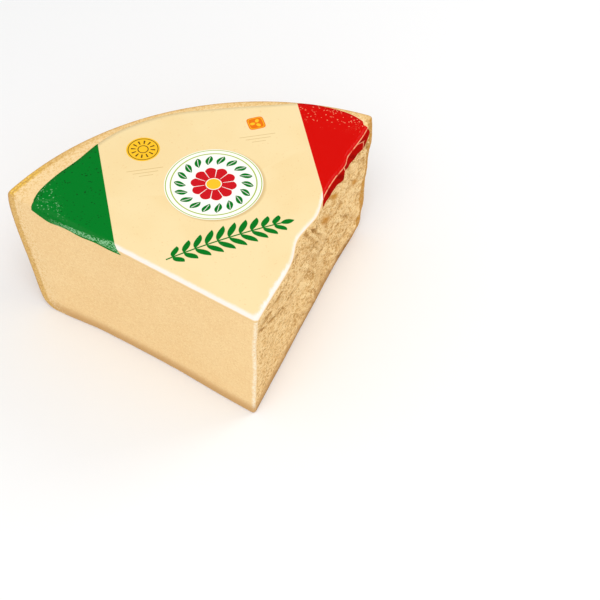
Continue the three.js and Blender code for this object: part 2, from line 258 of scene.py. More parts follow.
def broken_grain(distance, height):
    """Flakes in two sizes with cracks between them, knobs and grain, all drawn out along the
    paste's layers, less the grooves. It fades under the label's hem, at the foot, tip and rind."""
    distance, height = np.broadcast_arrays(distance, height)
    fades = GRAIN_FADES
    x = distance + waves(distance, height + WARP_SHIFTS[0], [LAYER_WARP])
    y = height + waves(distance + WARP_SHIFTS[1], height, [HEIGHT_WARP])
    slant = ramp(distance, *SLANT_ZONE) * LAYER_SLANT
    along, across = x - slant * y, y + slant * x
    large, deep_crack = flakes(along, across, **LARGE_FLAKES)
    small, fine_crack = flakes(along, across, **SMALL_FLAKES)
    knobs, grain = (depth * rough_noise(along / length, across / tall, 2)
                    for depth, length, tall in (KNOBS, GRAIN))
    coarse = large - CRACK_DEPTHS[0] * deep_crack + knobs
    fine = small - CRACK_DEPTHS[1] * fine_crack + grain
    hem = right_hem(distance)
    shown = ramp(WEDGE_HEIGHT - height, hem / 2, hem + fades["under_hem"])
    shown = shown * ramp(height, *fades["foot"]) * ramp(distance, *fades["tip"])
    off_rim = ramp(rind_radius(height) - distance, *fades["rim"])
    shown = shown * (fades["rim_share"] + (1 - fades["rim_share"]) * off_rim)
    away = ramp(distance, *fades["calm"])
    coarse = coarse * (fades["calm_coarse"] + (1 - fades["calm_coarse"]) * away)
    fine = fine * (fades["calm_fine"] + (1 - fades["calm_fine"]) * away)
    return shown * (coarse + fine - grooves(distance, height))


def broken_stand(distance, height):
    """The broken side's whole relief."""
    return broken_form(distance, height) + broken_grain(distance, height)


def smooth_form(distance, height):
    """The smooth side: flat, with its foot standing out."""
    return smooth_foot(distance) * (1 - height / WEDGE_HEIGHT)


WIRE_RIPPLES = [(0.06, 55, 2.6), (0.12, 40, 30)]
RIPPLE_FADES = {"edge": (3, 8), "foot": (0, 3), "tip": (2, 8)}


def smooth_stand(distance, height):
    """The smooth side with the wire's faint level ripples."""
    ripples = waves(distance, height, WIRE_RIPPLES) * ramp(distance, *RIPPLE_FADES["tip"])
    ripples = ripples * ramp(WEDGE_HEIGHT - height, *RIPPLE_FADES["edge"])
    return smooth_form(distance, height) + ripples * ramp(height, *RIPPLE_FADES["foot"])


# A side's direction away from the tip, its outward direction and its relief
Side = namedtuple("Side", "along out stand")
# One level of the wedge: its height, how far its outline is drawn in, and its radius at the rind
Level = namedtuple("Level", "height inset rind")
SINE, COSINE = np.sin(HALF_ANGLE), np.cos(HALF_ANGLE)
right_side = Side(np.array([SINE, COSINE]), np.array([COSINE, -SINE]), broken_stand)
left_side = Side(np.array([-SINE, COSINE]), np.array([-COSINE, -SINE]), smooth_stand)


def meeting(level):
    """Where the planes of the two sides meet at the tip."""
    right = right_side.stand(0, level.height) - level.inset
    left = left_side.stand(0, level.height) - level.inset
    return np.stack([(right - left) / (2 * COSINE), -(right + left) / (2 * SINE)], -1)


def side_point(side, share, level, skew=0.0):
    """A share of the way from the tip's rounding to the rim's corner, set out by the relief."""
    start = meeting(level) @ side.along + TIP_RADIUS / np.tan(HALF_ANGLE)
    outer = level.rind - RIM_CORNER_RADIUS
    end = np.sqrt(outer**2 - side.stand(outer, level.height) ** 2)
    distance = start + (end - start) * share + skew
    out = side.stand(distance, level.height) - level.inset
    return distance[..., None] * side.along + out[..., None] * side.out


def bearing(point):
    """Angle of a point from the middle line, towards the broken side."""
    return np.arctan2(point[..., 0], point[..., 1])


RIND_WAVES = [(0.35, 38, 30)]
# Depth, length and height
RIND_LUMPS = (0.12, 9, 7)
RIND_DENTS = (0.5, 6, 5)
DENT_SHIFT = 40
DENT_RANGE = (0.55, 0.95)
RIND_FADES = {"edge": (1, 8), "foot": (0.5, 4), "corner": (0.01, 0.05)}


def rind_dents(turn, height):
    """Soft waves and small dents of the rind, fading at its corners, its top edge and its foot."""
    run = turn * WHEEL_RADIUS
    depth, length, tall = RIND_LUMPS
    relief = waves(run, height, RIND_WAVES) + depth * rough_noise(run / length, height / tall, 3)
    depth, length, tall = RIND_DENTS
    dents = soft_noise(run / length + DENT_SHIFT, height / tall)
    relief = relief - depth * ramp(dents, *DENT_RANGE)
    relief = relief * ramp(WEDGE_HEIGHT - height, *RIND_FADES["edge"])
    relief = relief * ramp(height, *RIND_FADES["foot"])
    return relief * ramp(HALF_ANGLE - np.abs(turn), *RIND_FADES["corner"])


def rind_point(share, level):
    """A share of the way round the rind, from the right corner to the left one."""
    corner = RIM_CORNER_RADIUS / level.rind
    start = bearing(side_point(right_side, 1.0, level)) - corner
    end = bearing(side_point(left_side, 1.0, level)) + corner
    turn = start + (end - start) * share
    radius = level.rind + rind_dents(turn, level.height)
    return radius[..., None] * np.stack([np.sin(turn), np.cos(turn)], -1)


def rounded_corner(start, corner, end, share):
    """Quadratic Bezier curve from start to end, pulled towards corner."""
    share = np.asarray(share)[..., None]
    return (1 - share) ** 2 * start + 2 * share * (1 - share) * corner + share**2 * end


def rim_corner(side, share, level, backwards):
    """The rounded corner between a side and the rind."""
    face = side_point(side, 1.0, level)
    corner = face * (level.rind / np.linalg.norm(face, axis=-1))[..., None]
    rind = rind_point(1.0 if backwards else 0.0, level)
    ends = (rind, face) if backwards else (face, rind)
    return rounded_corner(ends[0], corner, ends[1], share)


def tip_point(share, level, left, right):
    """The rounded tip, from the left side to the right one."""
    start = side_point(left, 0.0, level)
    end = side_point(right, 0.0, level)
    return rounded_corner(start, meeting(level), end, share)


def wedge_levels():
    """Levels from the flat bottom up: even steps along the rind's profile, then the top edge."""
    heights = np.linspace(0, WEDGE_HEIGHT, PROFILE_STEPS)
    steps = np.hypot(np.diff(heights), np.diff(rind_radius(heights)))
    run = np.concatenate([[0], np.cumsum(steps)])
    low = np.interp(np.linspace(0, run[-1], PROFILE_ROWS), run, heights)
    low = low[low < WEDGE_HEIGHT - TOP_EDGE_RADIUS - EDGE_GAP]
    reach = np.maximum(BOTTOM_EDGE_RADIUS - low, 0)
    low_inset = BOTTOM_EDGE_RADIUS - np.sqrt(BOTTOM_EDGE_RADIUS**2 - reach**2)
    turn = np.linspace(0, np.pi / 2, EDGE_ROWS + 1)
    high = WEDGE_HEIGHT - TOP_EDGE_RADIUS * (1 - np.sin(turn))
    high_inset = TOP_EDGE_RADIUS * (1 - np.cos(turn))
    high_rind = rind_radius(high) - RIND_EDGE_RADIUS * (1 - np.cos(turn))
    return Level(
        np.concatenate([low, high])[:, None],
        np.concatenate([low_inset, high_inset])[:, None],
        np.concatenate([rind_radius(low), high_rind])[:, None],
    )


def shares(count):
    """Even shares from 0 up to but not counting 1."""
    return np.arange(count) / count


def ring_quads(rows, columns):
    """Quads between the rows of a closed grid, facing away from its axis."""
    k, j = np.meshgrid(np.arange(rows - 1), np.arange(columns), indexing="ij")
    a = k * columns + j
    b = k * columns + (j + 1) % columns
    return np.stack([a, b, b + columns, a + columns], -1).reshape(-1, 4)


def cap_faces(edge, start, rings, facing=1):
    """Quads from the edge in over the rings of points numbered from start, and a fan to the middle
    point after them. They face up, or down where facing is -1."""
    columns = len(edge)
    middle = start + columns * (rings - 1)
    order = np.concatenate([edge, np.arange(start, middle)])
    last = order[-columns:]
    fan = np.stack([last, np.roll(last, -1), np.full(columns, middle)], -1)
    quads = order[ring_quads(rings, columns)]
    return quads[:, ::facing].tolist() + fan[:, ::facing].tolist()


def make_mesh(name, points, faces, attributes):
    """A mesh of millimetre points put in the frame, smooth shaded, with its point attributes."""
    mesh = bpy.data.meshes.new(name)
    mesh.from_pydata(((points + TIP_TO_ORIGIN) * MM).tolist(), [], faces)
    mesh.shade_smooth()
    for label, values in attributes.items():
        values = np.asarray(values, np.float32)
        kind, key = ("FLOAT", "value") if values.ndim == 1 else ("FLOAT_VECTOR", "vector")
        mesh.attributes.new(label, kind, "POINT").data.foreach_set(key, values.ravel())
    piece = bpy.data.objects.new(name, mesh)
    bpy.context.collection.objects.link(piece)
    return piece


def cap(outline, height):
    """Rings of points from the outline in to the cap's middle, at one height."""
    rings = [outline + (CAP_MIDDLE - outline) * share for share in CAP_RINGS]
    flat = np.concatenate([*rings, CAP_MIDDLE[None]])
    return np.column_stack([flat, np.full(len(flat), height)])


def make_cheese():
    """Sides as a grid of levels by outline points, and two caps of rings about a middle point."""
    level = wedge_levels()
    outline = [
        side_point(right_side, shares(RIGHT_COLUMNS), level),
        rim_corner(right_side, shares(CORNER_COLUMNS), level, backwards=False),
        rind_point(shares(RIND_COLUMNS), level),
        rim_corner(left_side, shares(CORNER_COLUMNS), level, backwards=True),
        side_point(left_side, 1 - shares(LEFT_COLUMNS), level),
        tip_point(shares(TIP_COLUMNS), level, left_side, right_side),
    ]
    plan = np.concatenate(outline, axis=1)
    rows, columns = plan.shape[:2]
    heights = np.broadcast_to(level.height, (rows, columns))
    wall = np.concatenate([plan, heights[..., None]], -1).reshape(-1, 3)
    top = cap(plan[-1], WEDGE_HEIGHT)
    foot = cap(plan[0], 0.0)
    points = np.concatenate([wall, top, foot])

    rings = len(CAP_RINGS) + 1
    foot_edge = np.arange(columns)
    top_edge = foot_edge + (rows - 1) * columns
    faces = ring_quads(rows, columns).tolist()
    faces += cap_faces(top_edge, len(wall), rings)
    faces += cap_faces(foot_edge, len(wall) + len(top), rings, facing=-1)

    radius = np.hypot(points[:, 0], points[:, 1])
    depth = rind_radius(points[:, 2]) - radius
    on_broken = np.zeros((rows, columns))
    on_broken[:, :RIGHT_COLUMNS] = 1
    on_rind = np.zeros((rows, columns))
    rind_start = RIGHT_COLUMNS + CORNER_COLUMNS // 2
    on_rind[:, rind_start:rind_start + RIND_COLUMNS + CORNER_COLUMNS] = 1
    on_rind[-EDGE_ROWS // 2:] = 0
    broken = np.concatenate([on_broken.ravel(), np.zeros(len(top) + len(foot))])
    skin = np.concatenate([on_rind.ravel(), np.zeros(len(top)), np.ones(len(foot))])
    distance = points[:, :2] @ right_side.along
    # How deep each point lies in the broken side's relief, for the painted shade in its hollows
    hollow = np.where(broken > 0, -broken_grain(distance, points[:, 2]), 0)
    tip_middle = plan[:, -TIP_COLUMNS // 2]
    tip_x, tip_y = (np.interp(points[:, 2], level.height[:, 0], tip_middle[:, k]) for k in (0, 1))
    from_tip = np.hypot(points[:, 0] - tip_x, points[:, 1] - tip_y)
    # How deep each groove is, for the painted shade in it
    groove = broken * np.minimum(grooves(distance, points[:, 2]) * GROOVE_TINT, 1)
    return make_mesh("cheese_wedge", points, faces, {
        "rind_depth": depth, "broken": broken, "skin": skin, "hollow": hollow, "from_tip": from_tip,
        "groove": groove,
    })


def paint(code):
    """A screen colour such as #f0cf96 as linear light with full alpha."""
    screen = np.array([int(code[k:k + 2], 16) for k in (1, 3, 5)]) / 255
    linear = np.where(screen <= 0.04045, screen / 12.92, ((screen + 0.055) / 1.055) ** 2.4)
    return (*linear.tolist(), 1.0)


class Field:
    """One output of a material's nodes. Python's operators on it add Math nodes."""

    def __init__(self, tree, socket=None):
        self.tree = tree
        self.socket = socket

    def node(self, kind, settings=None, inputs=None, output=0):
        """Adds a node: first its settings, then its sockets' values or links. Gives one output."""
        made = self.tree.nodes.new("ShaderNode" + kind)
        for name, value in (settings or {}).items():
            setattr(made, name, value)
        for name, value in (inputs or {}).items():
            if isinstance(value, Field):
                self.tree.links.new(value.socket, made.inputs[name])
            else:
                made.inputs[name].default_value = paint(value) if isinstance(value, str) else value
        return Field(self.tree, made.outputs[output])

    def math(self, operation, *values):
        """A Math node of that operation on the values."""
        return self.node("Math", {"operation": operation}, dict(enumerate(values)))

    def __add__(self, other):
        return self.math("ADD", self, other)

    def __sub__(self, other):
        return self.math("SUBTRACT", self, other)

    def __mul__(self, other):
        return self.math("MULTIPLY", self, other)

    def __truediv__(self, other):
        return self.math("DIVIDE", self, other)

    def __radd__(self, other):
        return self.math("ADD", other, self)

    def __rsub__(self, other):
        return self.math("SUBTRACT", other, self)

    def __rmul__(self, other):
        return self.math("MULTIPLY", other, self)

    def __pow__(self, other):
        return self.math("POWER", self, other)

    def __abs__(self):
        return self.math("ABSOLUTE", self)

    def soft_step(self, start, end, strength=1.0):
        """0 at start, the strength at end and a soft S between, also where start is the larger."""
        return self.node("MapRange", {"interpolation_type": "SMOOTHSTEP"},
                         {"Value": self, "From Min": start, "From Max": end, "To Max": strength})

    def between(self, low, high):
        """Low where this is 0 and high where it is 1."""
        return self * (high - low) + low

    def wobble(self, reach):
        """This noise about 0, with that much from end to end."""
        return (self - 0.5) * reach

    def mix(self, first, second):
        """The first colour where this is 0 and the second where it is 1."""
        return self.node("Mix", {"data_type": "RGBA"}, {0: self, 6: first, 7: second}, output=2)

    def noise(self, size, detail, roughness):
        """Noise from 0 to 1 over this vector, with lumps of that size in millimetres."""
        return self.node("TexNoise", {}, {"Vector": self, "Scale": 1 / size, "Detail": detail,
                                          "Roughness": roughness})

    def cells(self, size):
        """A number from 0 to 1 for each grain of that size in millimetres over this vector."""
        grains = self.node("TexVoronoi", {}, {"Vector": self, "Scale": 1 / size}, output="Color")
        return grains.axis("X")

    def into(self, shader, name):
        """Links this to one of the shader's sockets."""
        self.tree.links.new(self.socket, shader.inputs[name])

    def vector(self, operation, *values, output=0):
        """A Vector Math node of that operation on the values."""
        return self.node("VectorMath", {"operation": operation}, dict(enumerate(values)), output)

    def axis(self, name):
        """One part of this vector."""
        return self.node("SeparateXYZ", {}, {0: self}, output="XYZ".index(name))

    def attribute(self, name, output="Fac"):
        """A point attribute of the mesh."""
        return self.node("Attribute", {"attribute_name": name}, output=output)

    def place(self):
        """Object coordinates in millimetres, from under the tip's top corner."""
        metres = self.node("TexCoord", output="Object")
        return metres.vector("MULTIPLY_ADD", metres, (1 / MM,) * 3, tuple(-TIP_TO_ORIGIN))


def new_material(name):
    """A material with nodes, and its shader."""
    material = bpy.data.materials.new(name)
    material.use_nodes = True
    return material, material.node_tree.nodes["Principled BSDF"]


def blend(fields, weights):
    """The sum of the fields, each times its weight."""
    return sum(field * weight for field, weight in zip(fields, weights))


def layered(colour, value, bands, share=1.0):
    """The colour with others mixed in, each where the value is past the start of its band."""
    for start, full, strength, other in bands:
        colour = (value.soft_step(start, full, strength) * share).mix(colour, other)
    return colour


PASTE = "#f6d298"
PASTE_WARM = "#f4ce93"
PASTE_PALE = "#f8dcaa"
PASTE_DOT = "#dcae70"
BROKEN_LIGHT = "#f8d497"
BROKEN_MID = "#ecc282"
# Dark grains of the broken side, and its painted shade
BROKEN_DARK_AND_SHADE = "#bd8b46"
STAIN = "#c6872a"
GROOVE_SHADE = "#a87a3c"
RIND_LINE = "#c8974f"
RIND_GOLD = "#e0b465"
RIND_RICH_GOLD = "#f6c84a"
RIND_DEEP_GOLD = "#c48a30"
# Dark brown of the rind's line on the broken side, and painted shade at the broken side's foot
RIND_DARK_AND_FOOT_SHADE = "#9a6a28"
# The rind's brown at the foot, deepened with painted shade
RIND_FOOT_AND_SHADE = "#cca066"
RIND_SKIN = "#d6a259"
RIND_SKIN_DARK = "#b98341"
RIND_SKIN_LIGHT = "#e6bd7c"
# Painted highlight down the tip's rounded edge
TIP_HIGHLIGHT = "#fff1d4"
PASTE_GRAIN = "#ffe2a8"

# Marks of the broken side: distance from the tip, height and reach, all in millimetres
STAINS = [(124, 69.8, 5.2), (139.5, 79, 3.4), (175.6, 60.4, 3.6)]
# Patches of painted shade where the face lies in shade, some just under the label's fold and some low
# by the foot
PAINTED_SHADE_PATCHES = [(104.8, 65, 6.0), (90, 76.6, 4.5), (108.8, 48.2, 4.5), (102.6, 81, 3.0), (32, 81.7, 6.0),
          (13.7, 82.4, 5.0), (130, 16, 5.0), (168, 29, 4.5), (148, 62, 4.0), (157.5, 42, 4.0)]
PALE_MARKS = [(72, 62, 8.0), (118, 62, 6.0), (150, 78, 6.0), (174, 76, 6.0), (170, 56, 5.0),
              (178, 28, 7.0), (114, 20, 7.0), (80, 20, 6.0)]
# Places of the marks, with their strength and their colour
MARKS = [(PALE_MARKS, 0.45, BROKEN_LIGHT), (PAINTED_SHADE_PATCHES, 0.3, BROKEN_DARK_AND_SHADE)]
# Bands of colour: where each starts, where it is full, its strength there and its colour
SMOOTH_GRAINS = [(0.65, 0.90, 0.4, PASTE_GRAIN), (0.30, 0.08, 0.22, PASTE_DOT)]
# Painted shade in the broken side's hollows, mixed with random mottling
MOTTLING_AND_HOLLOW_SHADE = [(-0.5, 0.2, 1.0, BROKEN_MID), (0.1, 0.8, 0.8, BROKEN_DARK_AND_SHADE)]
BROKEN_GRAINS = [(0.60, 0.85, 0.6, PASTE_GRAIN), (0.32, 0.12, 0.75, BROKEN_DARK_AND_SHADE)]
NEAR_GRAINS = [(0.5, 0.8, 0.6, PASTE_PALE), (0.35, 0.15, 0.45, RIND_GOLD)]
GOLD_GRAINS = [(0.45, 0.15, 0.7, RIND_LINE), (0.75, 0.95, 0.4, PASTE_PALE)]
SKIN_CLOUDS = [(0.3, 0.7, 1.0, RIND_SKIN_DARK)]
SKIN_BANDS = [(0.45, 0.75, 0.3, RIND_SKIN_LIGHT)]
SKIN_GRAINS = [(0.85, 0.95, 0.35, RIND_SKIN_DARK)]
INNER_LINE_DEPTH = 3.6
RAGGED = 2.0
BUMP_HEIGHT = 0.5


def marks(distance, height, wobble, places, slant=0.55):
    """1 in the middle of soft slanted marks with ragged edges, and 0 away from them."""
    total = 0.0
    for along, up, reach in places:
        out = (distance - along) * slant
        far = (out**2.0 + (height - up + out) ** 2.0) ** 0.5 / reach
        total = (far + wobble - 0.5).soft_step(1.2, 0.2) + total
    return total.math("MINIMUM", total, 1.0)


def broken_paste(field, distance, height, patch):
    """The split face: three tones by noise and by hollow, the hollows darker as painted shade, grains
    drawn out along the paste's sloping layers, pale marks, patches of painted shade, rusty stains and
    painted shade in the grooves."""
    drawn = {0: distance * 0.55, 1: height + distance * 0.25, 2: 0.0}
    layers = field.node("CombineXYZ", {}, drawn)
    crumb = layers.cells(0.9)
    fleck = layers.noise(2.6, 3, 0.6)
    # Painted shade: the deeper a hollow, the darker its colour, mixed with noise
    mottle = blend((field.attribute("hollow"), patch - 0.5, fleck - 0.5), (0.9, 1.0, 1.5))
    colour = layered(BROKEN_LIGHT, mottle, MOTTLING_AND_HOLLOW_SHADE)
    colour = layered(colour, crumb, BROKEN_GRAINS)
    for places, strength, other in MARKS:
        colour = (marks(distance, height, fleck, places) * strength).mix(colour, other)
    stains = marks(distance, height, fleck, STAINS) * crumb.between(0.7, 1.2)
    # Painted shade in the grooves, broken up by the crumb grains
    groove = field.attribute("groove") * crumb.between(0.9, 0.3)
    return groove.mix(stains.mix(colour, STAIN), GROOVE_SHADE)


def tip_and_foot(colour, from_tip, distance, height, broken, grit):
    """A painted highlight down the tip's rounded edge, and a brown foot: the rind's own colour at the
    bottom, deepened by painted shade where it meets the floor, with more painted shade at the broken
    side's foot.
    """
    # Painted highlight: a pale speckled strip down the tip's rounded edge
    strip = from_tip.soft_step(2.3, 0.4) * grit.soft_step(0.3, 0.6).between(0.3, 0.9)
    foot = height - broken * distance.soft_step(140.0, 190.0, 3.0)
    # The rind's brown at the foot, with painted shade where it meets the floor
    brown = foot.soft_step(12.0, 2.5, 0.95)
    # Painted shade: the broken side's foot darker, more so towards the rind
    dark = broken * foot.soft_step(6.0, 1.0) * distance.soft_step(110.0, 190.0).between(0.5, 0.9)
    return dark.mix(brown.mix(strip.mix(colour, TIP_HIGHLIGHT), RIND_FOOT_AND_SHADE), RIND_DARK_AND_FOOT_SHADE)


def rind_edge(colour, depth, x, height, broken, grit):
    """The cut rind: pale and golden grains inside it, a golden band, which is thicker low on the
    broken side and richer at the left corner, and a brown line along its outside."""
    top, low = height.soft_step(WEDGE_HEIGHT - 1.2, WEDGE_HEIGHT - 0.2), height.soft_step(45.0, 0.0)
    left_corner = x.soft_step(-95.0, -118.0) * top
    near = depth.soft_step(22.0, 6.0) * broken.between(1.0, 0.2)
    colour = layered(colour, grit, NEAR_GRAINS, near)
    gold = left_corner.mix(broken.mix(RIND_GOLD, RIND_DEEP_GOLD), RIND_RICH_GOLD)
    gold = layered(gold, grit, GOLD_GRAINS)
    thickness = top.between(6.8, 5.2) + broken * low.between(2.4, 5.6)
    fading = (x.soft_step(-115.0, -50.0) * top).between(1.0, 0.35)
    colour = ((depth - thickness).soft_step(0.9, -0.9) * fading).mix(colour, gold)
    outer_line = depth.soft_step(2.6, 0.8) * top.between(1.0, 0.7)
    inner_line = abs(depth - INNER_LINE_DEPTH).soft_step(1.0, 0.2, 0.8) * left_corner
    brown = (broken * low.between(0.6, 1.0)).mix(RIND_LINE, RIND_DARK_AND_FOOT_SHADE)
    return (outer_line + inner_line).mix(colour, brown)


def rind_skin(place, cloud, patch, grit):
    """The rind's brown skin: clouds, soft level bands and dark grains."""
    colour = layered(RIND_SKIN, blend((patch, cloud), (0.35, 0.65)), SKIN_CLOUDS)
    bands = place.vector("MULTIPLY", place, (0.5, 0.5, 1.0)).noise(6, 3, 0.5)
    return layered(layered(colour, bands, SKIN_BANDS), grit, SKIN_GRAINS)


def cheese_material():
    """Paste, smooth on the left side and mottled on the broken one, the rind's edge round it, and
    the rind's skin outside, with painted shade in the broken side's hollows, patches and grooves and
    at the foot, and a painted highlight down the tip."""
    material, shader = new_material("cheese_in_its_rind")
    field = Field(material.node_tree)
    place = field.place()
    height = place.axis("Z")
    distance = place.vector("DOT_PRODUCT", place, (SINE, COSINE, 0.0), output=1)
    broken = field.attribute("broken")
    cloud = place.noise(38, 3, 0.5)
    patch = place.noise(9, 4, 0.6)
    shred = place.noise(4, 4, 0.6)
    speck = place.noise(1.6, 3, 0.6)
    dust = place.noise(0.9, 2, 0.6)
    grit = place.cells(0.95)

    smooth = cloud.soft_step(0.35, 0.7).mix(PASTE, PASTE_WARM)
    smooth = layered(smooth, grit, SMOOTH_GRAINS)
    colour = broken.mix(smooth, broken_paste(field, distance, height, patch))
    from_tip = field.attribute("from_tip") + shred.wobble(1.5)
    ragged_height = height + shred.wobble(RAGGED)
    colour = tip_and_foot(colour, from_tip, distance, ragged_height, broken, grit)
    depth = field.attribute("rind_depth") + shred.wobble(RAGGED) + speck.wobble(RAGGED)
    colour = rind_edge(colour, depth, place.axis("X"), height, broken, grit)
    colour = field.attribute("skin").mix(colour, rind_skin(place, cloud, patch, grit))
    colour.into(shader, "Base Color")

    bumps = blend((speck, shred, dust), (0.4, 0.3, 0.3)) * broken.between(0.3, 1.0)
    bump = {"Strength": 0.5, "Distance": BUMP_HEIGHT * MM, "Height": bumps}
    field.node("Bump", {}, bump).into(shader, "Normal")
    roughness = broken.between(0.5, 0.7) + patch.wobble(0.2)
    roughness.into(shader, "Roughness")
    shader.inputs["Specular IOR Level"].default_value = 0.2
    return material


cheese = make_cheese()
cheese.data.materials.append(cheese_material())
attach(cheese, "root")
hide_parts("cheese")


# The label: a thin printed film that lies over the whole top. It is folded down a few millimetres
# over both sides, clings there, and hangs down the broken side as a creased flap. Its outer edge
# follows the rind.

FILM_GAP = 0.05
FILM_THICKNESS = 0.09
RIM_CLING = 0.3
LABEL_END_LEFT = 188.5
LABEL_END_RIGHT = 198
FLAP_LOOSE = (2, 8)
FLAP_SKEW = 1.5
FLAP_SKEW_GROWTH = 8
FLAP_OUT = 1.3
# Ridges of the flap: distance from the tip at the fold, lean down the sheet, where they start and
# end down it, half width, height and shine, the strength of the highlight painted on its crest
FLAP_RIDGES = [(126, 0.5, 3, 12, 7, 0.4, 0.0), (140, 1.0, 3, 12, 6, 0.5, 0.0),
               (154, 0.3, 1, 12, 5, -0.9, 0.9), (163, 0.8, 3, 12, 5, 0.5, 0.0),
               (170, 2.6, 3.5, 6.5, 6, 0.5, 0.8), (188, -0.3, 6, 12, 6, 0.8, 0.7)]
RIDGE_FADE = 2
FOLD_LENGTH = TOP_EDGE_RADIUS * np.pi / 2
FOLD_SHARE = 0.8
FILM_WAVE = 0.08
WAVE_LENGTH = 34
RIM_ZONE = 180
# Shares of the way from the outline to the middle, over which clinging stops and waves start
CLING_SHARE, WAVE_SHARE = 0.08, 0.2
MIDDLE_TO_FOLD = CAP_MIDDLE[1] * SINE
# How far down the smooth side the label reaches by distance from the tip, and the radius of its
# outer edge by bearing in degrees
LEFT_HEM = [(-5, 3), (60, 3.2), (100, 3.2), (112, 4.4), (122, 5.4), (134, 5.4), (146, 7), (156, 6.6),
            (164, 7), (173, 8.4), (180, 7.4), (LABEL_END_LEFT, 5.2)]
LABEL_RIM = [(38.4, 201.5), (35, 206), (30, 208.4), (25, 208.9), (18, 204.8), (8, 203.6), (-2, 206.2),
             (-12, 205), (-18, 201.4), (-24, 196.2), (-30, 194.6), (-35, 192.8), (-37.6, 190.4),
             (-38.8, 188.6)]
left_hem = curve(LEFT_HEM)
label_rim = curve(LABEL_RIM)
film_left = Side(left_side.along, left_side.out, smooth_form)
film_right = Side(right_side.along, right_side.out, broken_form)

LABEL_LEFT_COLUMNS = 170
LABEL_TIP_COLUMNS = 12
LABEL_RIGHT_COLUMNS = 260
LABEL_RIM_COLUMNS = 120
LABEL_RINGS = 26
FOLD_ROWS = 8
HANG_ROWS = 14


def flap_lift(distance, slide):
    """How far the film stands off the broken side: in straight sharp ridges where it hangs down."""
    loose = ramp(slide, *FLAP_LOOSE)
    ridges = sum(tall * np.clip(1 - np.abs(distance - start - lean * slide) / half, 0, 1)
                 * ramp(slide, low, low + RIDGE_FADE) * (1 - ramp(slide, high, high + RIDGE_FADE))
                 for start, lean, low, high, half, tall, shine in FLAP_RIDGES)
    return loose * (FLAP_OUT + ridges)


def film_rows(hem):
    """How far down the sheet its rows lie, from the hem up to the flat top, for each column's hem."""
    reach = np.maximum(hem - TOP_EDGE_RADIUS, 0)
    reach = reach + FOLD_LENGTH * np.minimum(hem / TOP_EDGE_RADIUS, 1)
    folded = np.minimum(FOLD_LENGTH, FOLD_SHARE * reach)
    hang = np.arange(HANG_ROWS, 0, -1)[:, None] / HANG_ROWS
    fold = np.arange(FOLD_ROWS, -1, -1)[:, None] / FOLD_ROWS
    return np.concatenate([folded + (reach - folded) * hang, folded * fold])


def film_band(columns, slide, stack, lift=0.0):
    """The sheet from its hem up to the flat top: slide goes down it along the surface, first round
    the folded edge and then straight down, stack off the cheese and lift further out."""
    turn = np.maximum(1 - slide / FOLD_LENGTH, 0) * (np.pi / 2)
    height = WEDGE_HEIGHT - TOP_EDGE_RADIUS * (1 - np.sin(turn))
    height = height - np.maximum(slide - FOLD_LENGTH, 0)
    away = stack + lift
    inset = TOP_EDGE_RADIUS * (1 - np.cos(turn)) - away * np.cos(turn)
    plan = columns(Level(height, inset, rind_radius(height)))
    return np.concatenate([plan, (height + away * np.sin(turn))[..., None]], -1)


def side_reach(side):
    """Distances from the tip where a side starts and ends along the folded edge."""
    edge = Level(np.array(WEDGE_HEIGHT), np.array(TOP_EDGE_RADIUS), np.array(float(WHEEL_RADIUS)))
    return [side_point(side, share, edge) @ side.along for share in (0.0, 1.0)]


def label_flat(top, stack):
    """The flat part inside the band's top row: the outer edge, which clings to the rim, rings from
    the whole outline in to the middle, in faint waves, and the middle. Gives its points and their
    places on the printed sheet, with how far they are from a fold."""
    degrees = np.degrees(bearing(top[[-1, 0]]))
    degrees = np.linspace(degrees[0], degrees[1], LABEL_RIM_COLUMNS + 2)[1:-1]
    turn = np.radians(degrees)
    radius = label_rim(degrees)
    level = np.full(len(turn), top[0, 2])
    rim = np.stack([radius * np.sin(turn), radius * np.cos(turn), level], -1)
    outline = np.concatenate([top, rim])
    inward = np.linspace(0, 1, LABEL_RINGS + 1)[1:-1]
    middle = np.array([*CAP_MIDDLE, top[0, 2]])
    rings = outline + (middle - outline) * inward[:, None, None]
    flat = np.concatenate([rim, rings.reshape(-1, 3), middle[None]])

    share = np.concatenate([np.zeros(len(rim)), np.repeat(inward, len(outline)), [1]])
    by_rim = np.arange(len(outline)) >= len(top)
    by_rim = np.concatenate([np.ones(len(rim)), np.tile(by_rim, len(inward)), [1]])
    on_sheet = np.column_stack([flat[:, :2], -MIDDLE_TO_FOLD * np.where(by_rim, 1, share)])
    cling = (np.hypot(flat[:, 0], flat[:, 1]) > RIM_ZONE) * (1 - ramp(share, 0, CLING_SHARE))
    rise = 1 + rough_noise(flat[:, 0] / WAVE_LENGTH, flat[:, 1] / WAVE_LENGTH, 2)
    flat[:, 2] -= cling * (1 - RIM_CLING) * stack
    flat[:, 2] += FILM_WAVE * ramp(share, 0, WAVE_SHARE) * rise
    return flat, on_sheet


